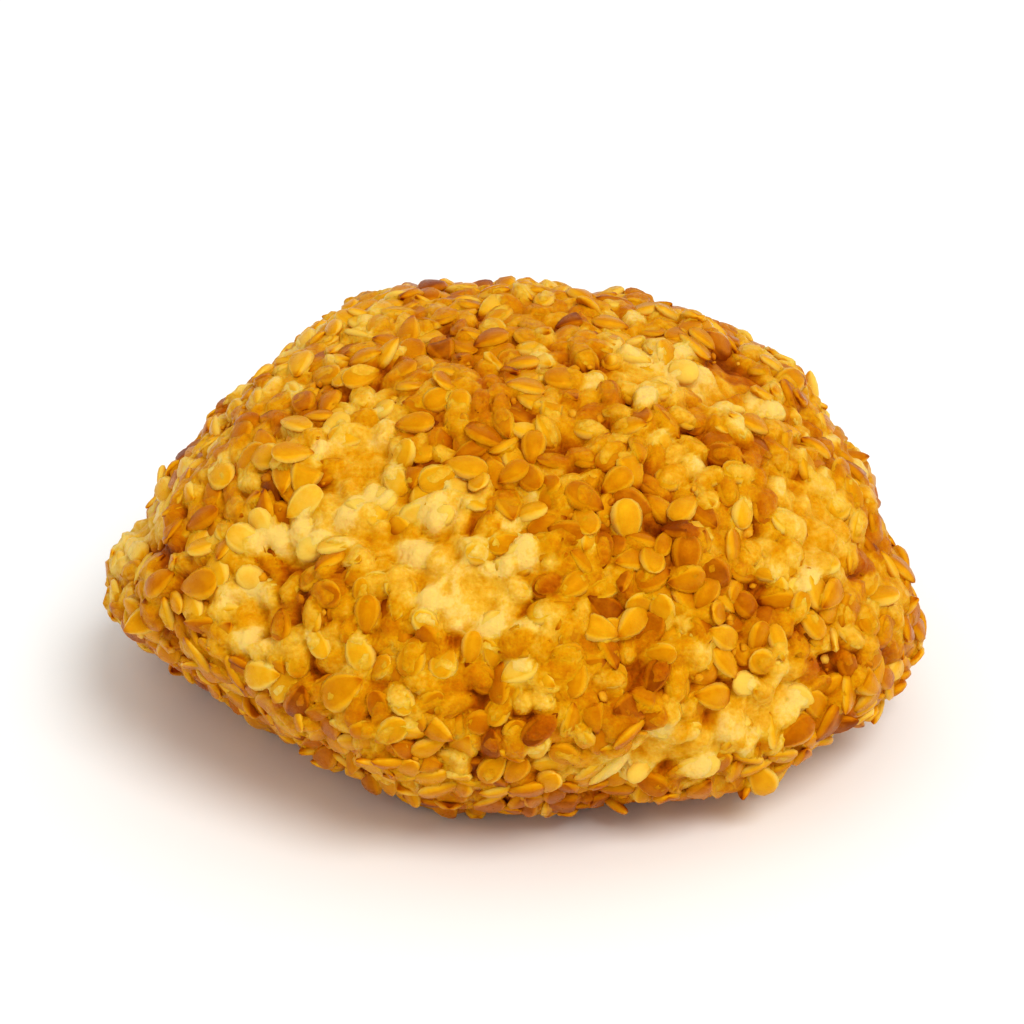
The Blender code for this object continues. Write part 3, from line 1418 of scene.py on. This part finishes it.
    def of_kind(self, kind: Toast) -> np.ndarray:
        """The whole seeds that are toasted as far as a kind says.

        Args:
            kind: the kind.

        Returns:
            Numbers of the seeds.
        """
        below = [other.limit for other in Toast if other.limit < kind.limit]
        start = max(below, default=-1.0)
        return np.flatnonzero(~self.broken & (self.toast > start) & (self.toast <= kind.limit))

    def whole(self, kind: Toast, mould: SeedMould) -> MeshData:
        """Joins the whole seeds of one kind into one mesh.

        Args:
            kind: how far the seeds are toasted.
            mould: the seeds' shape.

        Returns:
            The mesh.
        """
        which = self.of_kind(kind)
        return self.build(which, np.full(len(which), Break.NONE.value), mould)

    def in_pieces(self, mould: SeedMould) -> MeshData:
        """Picks the end that each broken seed has lost, and joins them into one mesh.

        Args:
            mould: the seeds' shape.

        Returns:
            The mesh.
        """
        which = np.flatnonzero(self.broken)
        round_end = self.random.uniform(size=len(which)) < self.round_end_share
        breaks = np.where(round_end, Break.ROUND_END.value, Break.TIP.value)
        return self.build(which, breaks, mould)

    def build(self, which: np.ndarray, breaks: np.ndarray, mould: SeedMould) -> MeshData:
        """Joins the chosen seeds into one mesh.

        Args:
            which: numbers of the seeds.
            breaks: the value of Break for each of them.
            mould: the seeds' shape.

        Returns:
            The mesh, with the values toast, along, rim, sunk and pale at each point.
        """
        count = len(which)
        camber = self.camber.draw(self.random, count)
        cut = self.random.uniform(*self.cut_span, count)
        local = mould.local_points(self.sizes[which], camber, self.hollow[which], breaks, cut)
        axes = np.stack((self.heading[which], self.across[which], self.up[which]), axis=1)
        points = set_in_place(local, axes, self.middle[which])
        normal = np.repeat(self.normal[which], local.shape[1], axis=0)
        ground = np.repeat(self.ground[which], local.shape[1], axis=0)
        depth = -np.sum((points - ground) * normal, axis=1)
        values = {
            "toast": np.repeat(self.toast[which], local.shape[1]),
            "along": np.tile(mould.shares(), count),
            "rim": np.tile(mould.rim(), count),
            # sunk: how deep below the crust each point lies, which the finish turns into painted
            # shade
            "sunk": smooth_step(depth, *self.seed_shade_depths),
            "pale": CrustFields(self.form).paleness(ground),
        }
        return MeshData(points, *mould.faces(count), values)


@dataclass
class Crumbs:
    """Crumbs caught between the seeds: small lumps of twelve corners, each pulled out of true."""

    form: CookieForm
    count: int = 800
    seed: int = 17
    heading_spread: tuple[float, float, float] = (1.0, 0.95, 0.8)
    upward_lean: float = 0.18
    lowest: float = 0.8 * MM
    bare_spread: float = 1.5
    barest: float = 0.3
    smallest: float = 0.35 * MM
    largest: float = 1.05 * MM
    smallness: float = 2.2
    level_span: Span = (-0.42 * MM, 0.0)
    pull: float = 0.20
    strongest_pull: float = 1.6
    stretch_span: Span = (0.65, 1.45)
    flatness: float = 0.55
    tumble: float = 0.4
    toast_spread: Bell = Bell(0.55, 0.15, 0.0, 1.0)
    map_margin: float = 0.1

    def lump(self) -> tuple[np.ndarray, np.ndarray]:
        """A regular lump of radius one.

        Its corners are the turns of (0, 1, golden ratio) with either sign, two apart along every
        edge before they are scaled, and a face joins each three corners that are so far apart.

        Returns:
            The twelve corners, and the corner numbers of the twenty faces, outwards.
        """
        golden = (1 + math.sqrt(5)) / 2
        ring = [(0, a, b * golden) for a in (-1, 1) for b in (-1, 1)]
        points = np.array([np.roll(corner, turn) for turn in range(3) for corner in ring], float)
        gaps = np.linalg.norm(points[:, None] - points[None], axis=2)
        joined = np.triu(np.abs(gaps - 2.0) < NEARLY_ZERO)
        every = joined[:, :, None] & joined[:, None, :] & joined[None]
        faces = np.argwhere(every)
        sides = points[faces]
        square = np.cross(sides[:, 1] - sides[:, 0], sides[:, 2] - sides[:, 0])
        inward = np.sum(square * sides[:, 0], axis=1) < 0
        faces[inward] = faces[inward][:, ::-1]
        return unit(points), faces

    def build(self) -> MeshData:
        """Joins the crumbs into one mesh.

        Each crumb's corners are pulled in or out, then stretched along its own axes. Its size is
        the smallest, plus a share of the rest up to the largest: a random number to the power of
        the smallness, which makes large crumbs rare.

        Returns:
            The mesh, with the value toast at each point.
        """
        random = np.random.default_rng(self.seed)
        form = self.form
        tries = random.normal(size=(self.count * 2, 3)) * self.heading_spread
        tries = unit(tries + (0.0, 0.0, self.upward_lean))
        ground = form.surface(tries)
        covered = form.bareness(ground, self.bare_spread) < self.barest
        good = np.flatnonzero((ground[:, 2] > self.lowest) & covered)[: self.count]
        ground, normal, count = ground[good], form.normals(tries[good]), len(good)
        growth = random.uniform(size=count) ** self.smallness
        size = self.smallest + (self.largest - self.smallest) * growth
        level = random.uniform(*self.level_span, count)
        corners, faces = self.lump()
        pulls = random.normal(size=(count, len(corners)))
        pulls = 1 + self.pull * pulls.clip(-self.strongest_pull, self.strongest_pull)
        stretch = random.uniform(*self.stretch_span, (count, 3)) * (1.0, 1.0, self.flatness)
        local = corners[None] * pulls[..., None] * stretch[:, None] * size[:, None, None] / 2
        level_heading = turned_headings(normal, random.uniform(0, 2 * math.pi, count))
        up = unit(normal + self.tumble * random.normal(size=normal.shape))
        heading = unit(np.cross(up, level_heading))
        axes = np.stack((heading, np.cross(up, heading), up), axis=1)
        points = set_in_place(local, axes, ground + level[:, None] * normal)
        steps = len(corners) * np.arange(count)[:, None, None]
        triangles = (faces[None] + steps).reshape(-1, 3)
        corner_places = np.array((((0.0, 0.0), (1.0, 0.0), (0.0, 1.0)),))
        return MeshData(
            points,
            triangles=triangles,
            triangle_places=in_cells(corner_places, len(triangles), self.map_margin),
            values={"toast": np.repeat(self.toast_spread.draw(random, count), len(corners))},
        )


# ---------------------------------------------------------------------------------------------
# Dough
# ---------------------------------------------------------------------------------------------


@dataclass
class Dough:
    """The dough and its glaze: a little below the crust between seeds, and risen around each seed.

    At a share e of the way from a seed's middle to its edge the glaze stands at the seed's own
    level, raised by the cover there and by a dome of one less e squared. From the inner share on
    it falls back, and at the outer share it has reached the dough's level. Where seeds lie close
    together, the levels join in a smooth maximum: the blend's width times the logarithm of the sum
    of exp(level / width).
    """

    form: CookieForm
    coat: SeedCoat
    grid: CubeGrid
    depth: float = 0.86 * MM
    open_depth: float = 0.48 * MM
    open_edge: Span = (1.05, 1.50)
    bare_depth: float = 0.44 * MM
    base_depth: float = 0.10 * MM
    base_edge: Span = (0.1 * MM, 0.7 * MM)
    lowest: float = 0.05 * MM
    seed_reach: float = 1.1
    inner: float = 0.64
    outer: float = 1.27
    farthest: float = 2.2
    bare_seed: float = -0.20 * MM
    buried_seed: float = 0.42 * MM
    dome: float = 0.20 * MM
    ceiling: float = 0.44 * MM
    blend: float = 0.05 * MM
    shows_through: float = 0.75
    ripple: float = 0.09 * MM
    ripples: Waves = Waves(61, 48, 0.9 * MM, 2.6 * MM)
    grit: float = 0.020 * MM
    gritty: Waves = Waves(67, 60, 0.55 * MM, 1.2 * MM)
    grain_on_seeds: float = 0.045 * MM
    grain_when_bare: float = 0.055 * MM
    grains: Waves = Waves(69, 60, 0.85 * MM, 1.9 * MM)
    # Depths below the crust over which the dough's painted shade grows from none to full.
    dough_shade_depths: Span = (-0.05 * MM, 1.0 * MM)
    batch: int = 40

    def seeds_near(self, points: np.ndarray) -> tuple[np.ndarray, ...]:
        """Every pair of a crust point and a seed near it.

        Args:
            points: points of the crust.

        Returns:
            For each pair the point's number, the seed's number, the share of the way from the
            seed's middle to its edge, which is over one outside it, and the level of the seed's
            middle plane there.
        """
        coat = self.coat
        reach = self.seed_reach * coat.length
        numbers, seeds, shares, levels = [], [], [], []
        for start in range(0, coat.total, self.batch):
            batch = slice(start, start + self.batch)
            middle = coat.ground[batch]
            low, high = middle.min(axis=0) - reach, middle.max(axis=0) + reach
            near = np.flatnonzero(np.all((points > low) & (points < high), axis=1))
            gaps = points[near][:, None] - middle[None]
            along = np.einsum("pnk,nk->pn", gaps, coat.heading[batch]) / (coat.sizes[batch, 0] / 2)
            across = np.einsum("pnk,nk->pn", gaps, coat.across[batch]) / (coat.sizes[batch, 1] / 2)
            share = np.sqrt(along**2 + across**2)
            above = np.abs(np.einsum("pnk,nk->pn", gaps, coat.normal[batch]))
            point, seed = np.nonzero((share < self.farthest) & (above < coat.length / 2))
            level = coat.height[batch] + np.einsum("pnk,nk->pn", gaps, coat.slope[batch])
            numbers.append(near[point])
            seeds.append(start + seed)
            shares.append(share[point, seed])
            levels.append(level[point, seed])
        return tuple(np.concatenate(parts) for parts in (numbers, seeds, shares, levels))

    def risen(
        self, points: np.ndarray, bare: np.ndarray, rise: np.ndarray
    ) -> tuple[np.ndarray, np.ndarray]:
        """The level of the dough and of the glaze that has risen around the seeds, and its tone.

        The tone is the mean of the tones of the seeds below, weighted as their levels are.

        Args:
            points: points of the crust.
            bare: how bare of seeds the crust is at each of them.
            rise: how far above a seed's middle the glaze stands at each of them.

        Returns:
            The level at each point, negative below the crust, and the tone of the seeds that show
            through the glaze there.
        """
        number, seed, share, seed_level = self.seeds_near(points)
        nearest = np.full(len(points), self.farthest)
        np.minimum.at(nearest, number, share)
        opened = smooth_step(nearest, *self.open_edge)
        depth = self.depth + (self.open_depth - self.depth) * opened
        level = -(depth + (self.bare_depth - depth) * bare)
        level += self.ripple * self.ripples.at(points)
        held = 1.0 - smooth_step(share, self.inner, self.outer)
        bulge = self.dome * np.clip(1.0 - share**2, 0.0, 1.0)
        top = np.minimum(seed_level + rise[number] + bulge, self.ceiling)
        target = level[number] + held * np.maximum(top - level[number], 0.0)
        total = np.exp(level / self.blend)
        weight = np.exp(target / self.blend) * (held > 0)
        tone = gathered(weight * held * self.coat.tone[seed], number, len(points))
        total += gathered(weight, number, len(points))
        return self.blend * np.log(total), tone / total

    def build(self) -> MeshData:
        """The dough's mesh.

        Returns:
            The mesh, with the values pale, brown and sunk at each point.
        """
        fields = CrustFields(self.form)
        crust = self.form.surface(self.grid.directions)
        normals = self.form.normals(self.grid.directions)
        cover = fields.cover(crust)
        base = 1.0 - smooth_step(crust[:, 2], *self.base_edge)
        rise = self.bare_seed + (self.buried_seed - self.bare_seed) * cover
        bare = self.form.bareness(crust)
        level, tone = self.risen(crust, bare, rise)
        grain = self.grain_on_seeds * cover + self.grain_when_bare * bare
        level += self.grit * self.gritty.at(crust) + grain * self.grains.at(crust)
        level = level * (1 - base) - self.base_depth * base
        points = crust + level[:, None] * normals
        points[:, 2] = np.maximum(points[:, 2], self.lowest)
        values = {
            "pale": fields.paleness(crust) * (1 - base),
            "brown": fields.browning(crust) + self.shows_through * tone,
            # sunk: depth below the crust, which the finish turns into painted shade
            "sunk": smooth_step(-level, *self.dough_shade_depths),
        }
        return MeshData(points, self.grid.quads, self.grid.places, values=values)


# ---------------------------------------------------------------------------------------------
# Studio
# ---------------------------------------------------------------------------------------------


@dataclass(frozen=True)
class CardFinish:
    """Plain white card, nearly without gloss."""

    name: str = "white_card"
    white: Colour = (0.94, 0.945, 0.93)
    roughness: float = 0.9
    gloss: float = 0.1

    def material(self) -> bpy.types.Material:
        """Puts the card's finish together.

        Returns:
            The material.
        """
        graph = Graph(self.name)
        graph.set(Base_Color=(*self.white, 1.0), Roughness=self.roughness)
        graph.set(Specular_IOR_Level=self.gloss)
        return graph.material


@dataclass(frozen=True)
class Studio:
    """A pale floor, soft light from above and from the front right, and the camera."""

    floor_size: float = 3.0
    sky: float = 0.64
    key_energy: float = 10.6
    key_size: float = 0.78
    key_distance: float = 1.5
    key_azimuth: float = -52.0
    key_elevation: float = 56.0
    azimuth: float = -90.0
    elevation: float = 29.0
    lens: float = 90.0
    sensor: float = 36.0
    clip: Span = (0.005, 20.0)
    filled: float = 0.79
    aimed_lower: float = 0.8 * MM

    def floor(self) -> None:
        """The floor, a plain white sheet under the cookie."""
        half = self.floor_size / 2
        corners = [(-half, -half, 0), (half, -half, 0), (half, half, 0), (-half, half, 0)]
        mesh = bpy.data.meshes.new("floor")
        mesh.from_pydata(corners, [], [(0, 1, 2, 3)])
        mesh.materials.append(CardFinish().material())
        floor = bpy.data.objects.new("floor", mesh)
        bpy.context.scene.collection.objects.link(floor)
        floor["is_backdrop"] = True

    def aim(self, thing: bpy.types.Object, target: Vector, place: Vector) -> None:
        """Sets a lamp or the camera down and turns it towards a point.

        Args:
            thing: the lamp's or camera's object.
            target: the point it faces.
            place: where it stands, measured from that point.
        """
        bpy.context.scene.collection.objects.link(thing)
        thing.location = target + place
        thing.rotation_euler = (target - thing.location).to_track_quat("-Z", "Y").to_euler()

    def lights(self, target: Vector) -> None:
        """A white sky and one large soft lamp.

        Args:
            target: the point the lamp faces.
        """
        scene = bpy.context.scene
        scene.world = bpy.data.worlds.new("white_room")
        scene.world.use_nodes = True
        background = scene.world.node_tree.nodes["Background"]
        background.inputs["Color"].default_value = (1.0, 1.0, 1.0, 1.0)
        background.inputs["Strength"].default_value = self.sky
        data = bpy.data.lights.new("key", "AREA")
        data.shape = "DISK"
        data.size = self.key_size
        data.energy = self.key_energy
        place = Vector(direction(self.key_azimuth, self.key_elevation)) * self.key_distance
        self.aim(bpy.data.objects.new("key", data), target, place)
        scene.view_settings.view_transform = "Standard"
        scene.view_settings.look = "Medium High Contrast"

    def camera(self, low: Vector, high: Vector) -> None:
        """The camera, aimed a little below the cookie's middle.

        Its distance is the cookie's length over the share of the frame that it fills, over the
        sensor's width per length of lens.

        Args:
            low: the cookie's lowest corner.
            high: its highest corner.
        """
        data = bpy.data.cameras.new("camera")
        data.lens, data.sensor_width = self.lens, self.sensor
        data.clip_start, data.clip_end = self.clip
        camera = bpy.data.objects.new("camera", data)
        target = (low + high) / 2 - Vector((0, 0, self.aimed_lower))
        distance = (high.x - low.x) / self.filled / (self.sensor / self.lens)
        self.aim(camera, target, Vector(direction(self.azimuth, self.elevation)) * distance)
        bpy.context.scene.camera = camera


def main() -> None:
    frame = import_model()
    solid_low, solid_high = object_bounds()
    LOG.info("frame holds %s", sorted(frame["nodes"]))
    low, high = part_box(NODE)

    form = CookieForm()
    grid = CubeGrid()
    form.fit(np.array(low), np.array(high), grid.directions)
    coat = SeedCoat(form)
    LOG.info("%d seeds", coat.total)

    dough = Dough(form, coat, grid).build().to_object(
        "dough_crust", DoughFinish().material(), Slot.CRUST
    )
    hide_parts(NODE)

    mould = SeedMould()
    finish = SeedFinish().material()
    for kind in Toast:
        coat.whole(kind, mould).to_object(kind.piece, finish, Slot.SEEDS)
    coat.in_pieces(mould).to_object("broken_seeds", finish, Slot.SEEDS)
    Crumbs(form).build().to_object("crumbs", CrumbFinish().material(), Slot.CRUST)

    studio = Studio()
    studio.floor()
    studio.lights((solid_low + solid_high) / 2)
    studio.camera(solid_low, solid_high)


if __name__ == "__main__":
    logging.basicConfig(level=logging.INFO, stream=sys.stdout, format="%(name)s: %(message)s")
    main()
